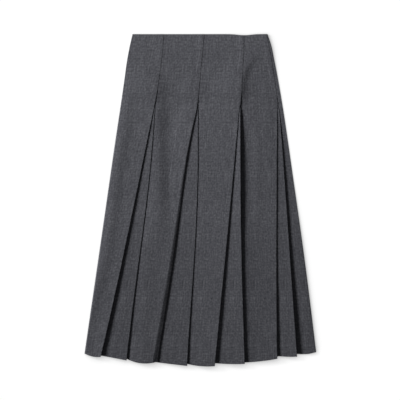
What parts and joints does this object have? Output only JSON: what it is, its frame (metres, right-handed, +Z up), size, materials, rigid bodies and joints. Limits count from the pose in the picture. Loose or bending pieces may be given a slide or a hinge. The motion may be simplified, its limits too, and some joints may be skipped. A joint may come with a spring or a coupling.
{
  "type": "pleated midi skirt",
  "caption": "A-line midi skirt of dark grey wool cloth, laid flat: smooth to the hip, with pairs of pressed knife pleats opening from sewn-down seams to the hem.",
  "frame": {"origin": "on the surface that the skirt lies on, under the centre of its bounding box", "axes": "+X across the skirt, to the right as its front is seen from above; +Y from the hem to the waist edge; +Z up, out of the skirt's front"},
  "size_m": [0.6165, 0.8848, 0.0197],
  "materials": {
    "wool_cloth": "matt, finely woven melange wool suiting with a soft nap",
    "sewing_thread": "matt spun thread, a little darker than the cloth"
  },
  "bodies": {
    "root": {"gore_1": "wool_cloth", "gore_2": "wool_cloth", "gore_3": "wool_cloth", "gore_4": "wool_cloth", "gore_5": "wool_cloth", "gore_6": "wool_cloth", "gore_7": "wool_cloth", "gore_8": "wool_cloth", "pleat_insert_a": "wool_cloth", "pleat_insert_b": "wool_cloth", "pleat_insert_c": "wool_cloth", "pleat_insert_d": "wool_cloth", "pleat_insert_e": "wool_cloth", "pleat_insert_f": "wool_cloth", "pleat_insert_g": "wool_cloth", "pleat_insert_h": "wool_cloth"}
  },
  "joints": []
}
